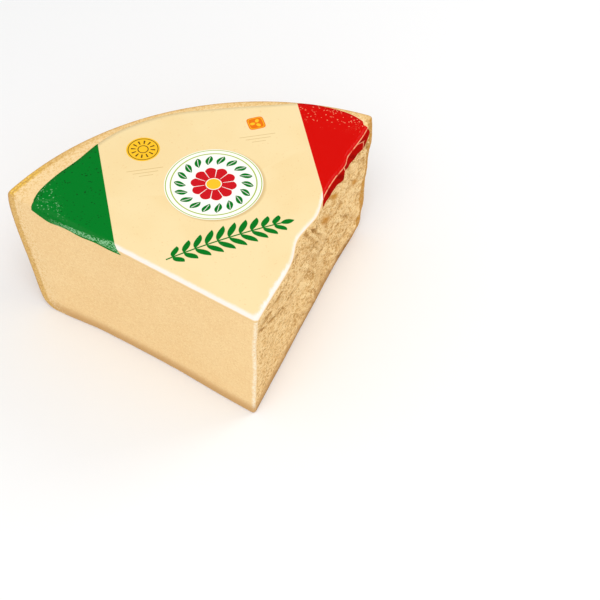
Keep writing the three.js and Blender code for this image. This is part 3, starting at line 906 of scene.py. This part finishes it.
def label_skin(stack):
    """One skin of the label: the band over its edges, then the flat part. Gives its points, their
    places on the printed sheet and the band's rows and columns."""
    first, last = side_reach(film_left)
    left = np.linspace(LABEL_END_LEFT, first, LABEL_LEFT_COLUMNS)
    left_share = (left - first) / (last - first)
    left_slide = film_rows(left_hem(left))
    left_band = film_band(lambda level: side_point(film_left, left_share, level), left_slide, stack)

    tip_share = np.linspace(0, 1, LABEL_TIP_COLUMNS + 2)[1:-1]
    tip_slide = film_rows(left_hem(0) + (right_hem(0) - left_hem(0)) * tip_share)
    tip_band = film_band(lambda level: tip_point(tip_share, level, film_left, film_right),
                         tip_slide, stack)

    first, last = side_reach(film_right)
    right = np.linspace(first, LABEL_END_RIGHT, LABEL_RIGHT_COLUMNS)
    right_share = (right - first) / (last - first)
    right_slide = film_rows(right_hem(right))
    skew = FLAP_SKEW * (right / LABEL_END_RIGHT) ** FLAP_SKEW_GROWTH
    skew = skew * right_slide / right_hem(LABEL_END_RIGHT)
    right_band = film_band(lambda level: side_point(film_right, right_share, level, skew),
                           right_slide, stack, flap_lift(right, right_slide))

    band = np.concatenate([left_band, tip_band, right_band], axis=1)
    slide = np.concatenate([left_slide, tip_slide, right_slide], axis=1)
    outward = np.concatenate([
        np.broadcast_to(film_left.out, (len(left), 2)),
        film_left.out + (film_right.out - film_left.out) * tip_share[:, None],
        np.broadcast_to(film_right.out, (len(right), 2)),
    ])
    outward = outward / np.linalg.norm(outward, axis=1)[:, None]
    sheet = band[-1, :, :2] + outward * slide[..., None]
    sheet = np.concatenate([sheet, slide[..., None]], -1).reshape(-1, 3)

    flat, on_sheet = label_flat(band[-1], stack)
    points = np.concatenate([band.reshape(-1, 3), flat])
    return points, np.concatenate([sheet, on_sheet]), band.shape[:2]


def make_label():
    """Two skins of the sheet, the outer one facing out, joined by a wall all round the edge."""
    outer, sheet, (rows, columns) = label_skin(FILM_GAP + FILM_THICKNESS)
    inner = label_skin(FILM_GAP)[0]
    k, j = np.meshgrid(np.arange(rows - 1), np.arange(columns - 1), indexing="ij")
    a = (k * columns + j).ravel()
    band_quads = np.stack([a, a + 1, a + columns + 1, a + columns], -1)
    top = (rows - 1) * columns + np.arange(columns)
    rim = rows * columns + np.arange(LABEL_RIM_COLUMNS)
    flat = cap_faces(np.concatenate([top, rim]), rows * columns + len(rim), LABEL_RINGS)

    right_end = (np.arange(1, rows)) * columns + columns - 1
    left_end = (rows - 1 - np.arange(rows - 1)) * columns
    edge = np.concatenate([np.arange(columns), right_end, rim, left_end])
    after = np.roll(edge, -1)
    shift = len(outer)
    wall = np.stack([after, edge, edge + shift, after + shift], -1)
    skin = [*band_quads.tolist(), *flat]
    inside_out = [[corner + shift for corner in face[::-1]] for face in skin]
    return make_mesh("label_film", np.concatenate([outer, inner]),
                     [*skin, *wall.tolist(), *inside_out],
                     {"sheet": np.concatenate([sheet, sheet])})


FILM_CREAM = "#f7dfab"
FILM_CREAM_DEEP = "#f5daa3"
# Painted highlight along the label's folded edges
FILM_FOLD_HIGHLIGHT = "#fff2e8"
FILM_HEM = "#f0cd94"
FILM_GREEN = "#007a24"
FILM_RED = "#d50e08"
# Painted shade: the red of the hanging flap
FILM_RED_FLAP_SHADE = "#b00c06"
# Painted shade beside the flap's ridges
FILM_RED_RIDGE_SHADE = "#860a05"
# Light green of the painted highlight on the green fold, and of rubbed freckles
FILM_GREEN_WEAR_AND_HIGHLIGHT = "#86c08c"
FILM_DEEP_GREEN = "#0b3d12"
# Pale orange of the painted highlights on the red fold and ridges, and of rubbed freckles
FILM_RED_HIGHLIGHT_AND_WEAR = "#ffb184"
PRINT_WHITE = "#fffdf4"
PRINT_LIME = "#a9c04a"
PRINT_LEAF = "#04761f"
PRINT_ROSE = "#cf1720"
PRINT_GOLD = "#fdc52c"
PRINT_ORANGE = "#ee7616"
PRINT_BROWN = "#5b3f1c"
PRINT_SHADE = "#c9a669"

PRINT_TURN = np.radians(5.65)
GREEN_BORDER = -81.4
RED_BORDER = 66.0
PRINT_BLUR = 0.3
MEDALLION = {"x": -7.0, "y": 128.0, "radius": 34.5}
GARLAND = {"x": -9.0, "y": 75.0, "half_length": 42.0, "spacing": 8.2, "turn": np.radians(12.5)}
SUN_BADGE = {"x": -50.5, "y": 172.0, "radius": 12.0}
SPRIG_BADGE = {"x": 32.8, "y": 182.9, "half": 6.2}
RULE_PLACES = [(-52.0, 151.5), (31.5, 170.0)]
# Half length of each rule
RULES = (13.0, 9.0, 5.0)


class Print:
    """Distances to simple printed shapes, in millimetres about one point of the sheet."""

    def __init__(self, x, y, turn=0.0):
        self.x = x * np.cos(turn) + y * np.sin(turn)
        self.y = y * np.cos(turn) - x * np.sin(turn)
        self.radius = (self.x**2.0 + self.y**2.0) ** 0.5
        self.angle = self.x.math("ARCTAN2", self.y, self.x)

    def around(self, count, lean=0.0):
        """Where in its share of a full turn a point lies, from -0.5 to 0.5, for count shares."""
        turns = self.angle * (count / (2 * np.pi)) + self.radius * lean
        return turns.math("FRACT", turns) - 0.5


def inside(distance):
    """1 where the distance is below 0, with a soft edge as ink has."""
    return distance.soft_step(PRINT_BLUR / 2, -PRINT_BLUR / 2)


def line(distance, width):
    """1 on a printed line of that width along distance 0."""
    return inside(abs(distance) - width / 2)


def medallion(colour, x, y, shadow=1.2, blur=(1.6, -0.6, 0.55), rings=((1.0, 0.7), (4.4, 0.9))):
    """A white round field with its shadow and two thin rings, each a way in from its edge, round a
    wreath of leaves and a red rosette."""
    x, y, size = x - MEDALLION["x"], y - MEDALLION["y"], MEDALLION["radius"]
    shade, spot = Print(x - shadow, y + shadow), Print(x, y)
    colour = (shade.radius - size).soft_step(*blur).mix(colour, PRINT_SHADE)
    colour = inside(spot.radius - size).mix(colour, PRINT_WHITE)
    for inset, width in rings:
        colour = line(spot.radius - (size - inset), width).mix(colour, PRINT_LIME)
    return rosette(wreath(colour, spot), spot)


def wreath(colour, spot, count=18, lean=0.045, spacing=8.2, radius=23.6, half_length=4.4,
           half_width=2.6, vein=0.22, vein_reach=0.75):
    """A ring of leaning leaves, each with a white vein."""
    ring = (spot.radius - radius) / half_length
    beside = abs(spot.around(count, lean)) * spacing
    colour = inside(beside - half_width * (1 - ring * ring)).mix(colour, PRINT_LEAF)
    return (inside(beside - vein) * inside(abs(ring) - vein_reach)).mix(colour, PRINT_WHITE)


def rosette(colour, spot, petals=10, radius=16.2, notch=10.4, spread=10.0, half_gap=0.35,
            gap=(6.5, 14.5), heart=5.4, heart_line=0.6):
    """Red petals with white gaps between them, about a golden heart."""
    turn = abs(spot.around(petals))
    colour = inside(spot.radius - radius + notch * turn * turn).mix(colour, PRINT_ROSE)
    between = inside(abs(turn - 0.5) * spread - half_gap)
    between = between * inside(gap[0] - spot.radius) * inside(spot.radius - gap[1])
    colour = between.mix(colour, PRINT_WHITE)
    colour = inside(spot.radius - heart).mix(colour, PRINT_GOLD)
    return line(spot.radius - heart, heart_line).mix(colour, PRINT_WHITE)


def garland(colour, x, y, bow=900.0, stem=1.1, slant=0.75, reach=5.8, shrink=2.6, half_width=2.9,
            last_leaf=(4.0, 5.0, 2.2)):
    """A stem in a gentle bow with slanted pairs of leaves, smaller towards its ends, and one leaf
    past its end, which is given by its middle, half length and half width."""
    run = Print(x - GARLAND["x"], y - GARLAND["y"], GARLAND["turn"])
    end, spacing = GARLAND["half_length"], GARLAND["spacing"]
    across = abs(run.y + run.x * run.x / bow)
    colour = (inside(across - stem / 2) * inside(abs(run.x) - end)).mix(colour, PRINT_LEAF)
    slanted = (run.x - across * slant) / spacing
    number = slanted.math("FLOOR", slanted)
    root = (number + 0.5) * spacing
    long = reach - shrink * (root / end) ** 2.0
    lens = (across - long) / long
    leaf = abs(slanted - number - 0.5) * spacing - half_width * (1 - lens * lens)
    colour = (inside(leaf) * inside(abs(root) - end)).mix(colour, PRINT_LEAF)
    middle, half_length, last_width = last_leaf
    last = (run.x - end - middle) / half_length
    return inside(across - last_width * (1 - last * last)).mix(colour, PRINT_LEAF)


def sun_badge(colour, x, y, ring=(10.6, 0.6), disc=(3.6, 0.7), rays=12, ray_spread=4.0,
              half_ray=0.55, ray_middle=7.0, ray_reach=1.7):
    """A yellow disc with a thin brown ring round a sun with short rays."""
    spot = Print(x - SUN_BADGE["x"], y - SUN_BADGE["y"])
    colour = inside(spot.radius - SUN_BADGE["radius"]).mix(colour, PRINT_GOLD)
    for radius, width in (ring, disc):
        colour = line(spot.radius - radius, width).mix(colour, PRINT_BROWN)
    ray = inside(abs(spot.around(rays)) * ray_spread - half_ray)
    return (ray * inside(abs(spot.radius - ray_middle) - ray_reach)).mix(colour, PRINT_BROWN)


def sprig_badge(colour, x, y, power=5.0, inset=1.0, width=0.45, leaves=3, radius=4.4, notch=6.4,
                hole=0.9):
    """An orange tile with rounded corners and a sprig of three yellow leaves."""
    spot = Print(x - SPRIG_BADGE["x"], y - SPRIG_BADGE["y"], PRINT_TURN)
    edge = (abs(spot.x) ** power + abs(spot.y) ** power) ** (1 / power) - SPRIG_BADGE["half"]
    colour = inside(edge).mix(colour, PRINT_ORANGE)
    colour = line(edge + inset, width).mix(colour, PRINT_GOLD)
    turn = spot.around(leaves)
    leaf = inside(spot.radius - radius * (1 - turn * turn * notch))
    return (leaf * inside(hole - spot.radius)).mix(colour, PRINT_GOLD)


def rule_ornament(colour, x, y, spacing=3.0, half_width=0.28, ink=0.6):
    """Three short thin rules, one under the other, each shorter than the last."""
    for k, half in enumerate(RULES):
        rule = inside(abs(y + spacing * k) - half_width) * inside(abs(x) - half)
        colour = (rule * ink).mix(colour, PRINT_SHADE)
    return colour


FOLD_SLIDE = 3.6
FILM_BUMP_HEIGHT = 0.2

# A place on the sheet: across it, along it and down from its fold, along the right side, x and y of
# the print, the scuffs there and its freckle's chance
Spot = namedtuple("Spot", "across along slide run x y scuff freckle")


def on_the_sheet(sheet):
    """The place on the sheet of each point, from the mesh's own attribute."""
    across, along = sheet.axis("X"), sheet.axis("Y")
    run = sheet.vector("DOT_PRODUCT", sheet, (SINE, COSINE, 0.0), output=1)
    x = across * np.cos(PRINT_TURN) - along * np.sin(PRINT_TURN)
    y = across * np.sin(PRINT_TURN) + along * np.cos(PRINT_TURN)
    scuff, freckle = sheet.noise(5, 4, 0.7), sheet.cells(0.8)
    return Spot(across, along, sheet.axis("Z"), run, x, y, scuff, freckle)


def fold_highlight_mask(spot):
    """1 where a highlight is painted along the fold: further out on the right, and wider there by the
    tip.
    """
    right = spot.across.soft_step(1.0, 3.0)
    wide = right * spot.run.soft_step(62.0, 46.0) * spot.scuff.soft_step(0.25, 0.75, 2.2)
    above = spot.slide - right * 1.9 + spot.scuff.wobble(2.0) + wide
    below = spot.slide - right * 0.5 + spot.scuff.wobble(0.7)
    return above.soft_step(-1.8, 1.2) * below.soft_step(3.2, 2.2)


def cream_film(sheet, spot, folded):
    """Cream film in two soft shades, browner on its hem, with faint dots and the painted highlight
    along the fold.
    """
    cloud = sheet.noise(45, 2, 0.5).soft_step(0.35, 0.7)
    hem = spot.slide.soft_step(1.8, 3.2)
    dots = sheet.cells(1.1).soft_step(0.05, 0.02) * spot.scuff.soft_step(0.4, 0.6, 0.6)
    colour = hem.mix(cloud.mix(FILM_CREAM, FILM_CREAM_DEEP), FILM_HEM)
    # Painted highlight on the fold
    return folded.mix(dots.mix(colour, FILM_HEM), FILM_FOLD_HIGHLIGHT)


def green_film(spot):
    """Green ink with a painted highlight, broken into light specks, in a slanting strip along the
    fold, with light freckles at the left corner and dark ones by the rim."""
    inward = GREEN_BORDER - spot.x
    off_strip = abs(spot.slide - 2.0 - inward * 0.125 + spot.scuff.wobble(1.5))
    strip = (off_strip - inward.soft_step(10.0, 0.0, 1.2)).soft_step(2.4, 1.2)
    # Painted highlight along the fold, in light specks
    wear_and_highlight = strip * inward.soft_step(50.0, 28.0) * spot.freckle.soft_step(0.44, 0.5)
    at_corner = spot.across.soft_step(-97.0, -108.0) * spot.slide.soft_step(4.0, 0.0)
    wear_and_highlight = wear_and_highlight + spot.freckle.soft_step(0.93, 0.95) * at_corner
    dark = spot.freckle.soft_step(0.03, 0.01) * spot.along.soft_step(104.0, 120.0)
    return dark.mix(wear_and_highlight.mix(FILM_GREEN, FILM_GREEN_WEAR_AND_HIGHLIGHT), FILM_DEEP_GREEN)


def ridge_ink(spot, ridge):
    """The painted shade beside a ridge of the flap, and the painted highlight on its crest."""
    at, lean, low, high, half, tall, shine = ridge
    past = spot.run - spot.slide * lean - at
    starts = (spot.slide - max(low, FOLD_SLIDE - 0.3)).soft_step(-0.4, 0.8)
    ends = starts * (spot.slide - high).soft_step(1.0, -0.5)
    shade = past.soft_step(-0.4, 0.4) * past.soft_step(half, half / 2) * ends
    crest = abs(past).soft_step(0.9, 0.1, shine) * ends
    return shade * spot.scuff.soft_step(0.25, 0.6, 0.8), crest


def red_film(spot):
    """Red ink: darker on the hanging flap and beside its ridges as painted shade, with painted
    highlights on its fold and on some ridges, and light freckles of rubbed ink by the rim."""
    # Painted shade: the red darker where the flap hangs down
    red = spot.slide.soft_step(FOLD_SLIDE, FOLD_SLIDE + 0.8).mix(FILM_RED, FILM_RED_FLAP_SHADE)
    # Painted highlight along the red fold
    fold = abs(spot.slide - FOLD_SLIDE + spot.scuff.wobble(0.8)).soft_step(0.6, 0.1)
    by_rim = Print(spot.across, spot.along).radius.soft_step(183.0, 199.0)
    by_rim = by_rim * spot.slide.soft_step(0.5, 0.0)
    wear_and_highlight = fold * spot.scuff.soft_step(0.3, 0.55) + spot.freckle.soft_step(0.955, 0.97, 0.6) * by_rim
    for ridge in FLAP_RIDGES:
        shade, crest = ridge_ink(spot, ridge)
        red = shade.mix(red, FILM_RED_RIDGE_SHADE)
        wear_and_highlight = wear_and_highlight.math("MAXIMUM", wear_and_highlight, crest)
    return wear_and_highlight.mix(red, FILM_RED_HIGHLIGHT_AND_WEAR)


def label_material():
    """Glossy film printed in a green, a cream and a red field, with a medallion, a garland and two
    badges on the cream one, painted highlights along its folds and on the flap's ridges, painted
    shade on the hanging flap and beside its ridges, and light freckles of rubbed ink by the rim."""
    material, shader = new_material("printed_film")
    field = Field(material.node_tree)
    sheet = field.attribute("sheet", "Vector")
    spot = on_the_sheet(sheet)
    # Where the highlight is painted along the fold
    folded = fold_highlight_mask(spot)
    colour = cream_film(sheet, spot, folded)
    for shape in (medallion, garland, sun_badge, sprig_badge):
        colour = shape(colour, spot.x, spot.y)
    for x, y in RULE_PLACES:
        colour = rule_ornament(colour, spot.x - x, spot.y - y)
    on_red = inside(RED_BORDER - spot.x)
    colour = inside(spot.x - GREEN_BORDER).mix(colour, green_film(spot))
    on_red.mix(colour, red_film(spot)).into(shader, "Base Color")

    bumps = blend((sheet.noise(1.6, 2, 0.7), spot.scuff), (0.4, 0.6))
    bump = {"Strength": 0.12, "Distance": FILM_BUMP_HEIGHT * MM, "Height": bumps}
    field.node("Bump", {}, bump).into(shader, "Normal")
    spot.scuff.between(0.24, 0.36).into(shader, "Roughness")
    gloss = folded * on_red.between(0.25, 0.06) + 0.1
    gloss = gloss - on_red * (spot.slide.soft_step(2.5, 5.0, 0.05) + 0.04)
    gloss.into(shader, "Coat Weight")
    shader.inputs["Coat Roughness"].default_value = 0.12
    shader.inputs["Specular IOR Level"].default_value = 0.0
    return material


label = make_label()
label.data.materials.append(label_material())
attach(label, "root")
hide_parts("label")


# The floor: a plain pale sweep of card under the wedge, which isn't part of it.

FLOOR_HALF = 4.0
FLOOR_DROP = 0.0002
FLOOR_WHITE = (0.95, 0.95, 0.95, 1.0)
FLOOR_ROUGHNESS = 0.9
FLOOR_SPECULAR = 0.1


def make_floor():
    """One flat square, a hair under the wedge's foot."""
    signs = [(-1, -1), (1, -1), (1, 1), (-1, 1)]
    corners = [(x * FLOOR_HALF, y * FLOOR_HALF, -FLOOR_DROP) for x, y in signs]
    mesh = bpy.data.meshes.new("floor")
    mesh.from_pydata(corners, [], [(0, 1, 2, 3)])
    material, shader = new_material("white_card")
    shader.inputs["Base Color"].default_value = FLOOR_WHITE
    shader.inputs["Roughness"].default_value = FLOOR_ROUGHNESS
    shader.inputs["Specular IOR Level"].default_value = FLOOR_SPECULAR
    mesh.materials.append(material)
    card = bpy.data.objects.new("floor", mesh)
    bpy.context.collection.objects.link(card)
    return card


make_floor()


# The light: three soft boxes round the wedge in an even pale room. One hangs overhead, one stands
# on the right and lights the broken side, and one in front lights the smooth side.

ROOM = {"colour": (1.0, 1.0, 1.0), "strength": 0.7}
AIM = np.array([0.0, 0.0, 0.06])
# Direction from the wedge, distance, side of the box and power
SOFT_BOXES = {
    "overhead": ((-0.25, -0.45, 1.0), 1.5, 1.0, 6.7),
    "right_box": ((0.85, 0.16, 0.52), 1.3, 0.6, 3.4),
    "front_box": ((-0.35, -1.0, 0.9), 1.8, 1.0, 2.6),
}


def place_object(thing, axes, at):
    """Turns an object so that its own axes are the given ones, and puts it in its place."""
    rows = [(*row, shift) for row, shift in zip(np.stack(axes, 1), at)]
    thing.matrix_world = Matrix([*rows, (0, 0, 0, 1)])
    bpy.context.collection.objects.link(thing)


for name, (direction, distance, size, power) in SOFT_BOXES.items():
    direction = np.array(direction) / np.linalg.norm(direction)
    lamp = bpy.data.lights.new(name, "AREA")
    lamp.shape = "SQUARE"
    lamp.size = size
    lamp.energy = power
    side = np.cross((0.0, 1.0, 0.0), direction)
    side = side / np.linalg.norm(side)
    axes = (side, np.cross(direction, side), direction)
    place_object(bpy.data.objects.new(name, lamp), axes, AIM + direction * distance)

world = bpy.data.worlds.new("pale_room")
world.use_nodes = True
background = world.node_tree.nodes["Background"]
background.inputs["Color"].default_value = (*ROOM["colour"], 1.0)
background.inputs["Strength"].default_value = ROOM["strength"]
bpy.context.scene.world = world
bpy.context.scene.view_settings.view_transform = "Standard"


# The camera: above and a little to the left of the tip, looking down at the whole wedge.

CAMERA_PLACE = np.array([-166.656, -649.896, 893.323])
CAMERA_RIGHT = np.array([0.95694, -0.290283, -0.001203])
CAMERA_UP = np.array([0.22046, 0.724056, 0.65356])
FOCAL_PIXELS = 1615.3
FRAME_PIXELS = 600
SENSOR_WIDTH = 36.0

camera_data = bpy.data.cameras.new("camera")
camera_data.sensor_width = SENSOR_WIDTH
camera_data.lens = FOCAL_PIXELS / FRAME_PIXELS * SENSOR_WIDTH
camera = bpy.data.objects.new("camera", camera_data)
camera_axes = (CAMERA_RIGHT, CAMERA_UP, np.cross(CAMERA_RIGHT, CAMERA_UP))
place_object(camera, camera_axes, (CAMERA_PLACE + TIP_TO_ORIGIN) * MM)
bpy.context.scene.camera = camera
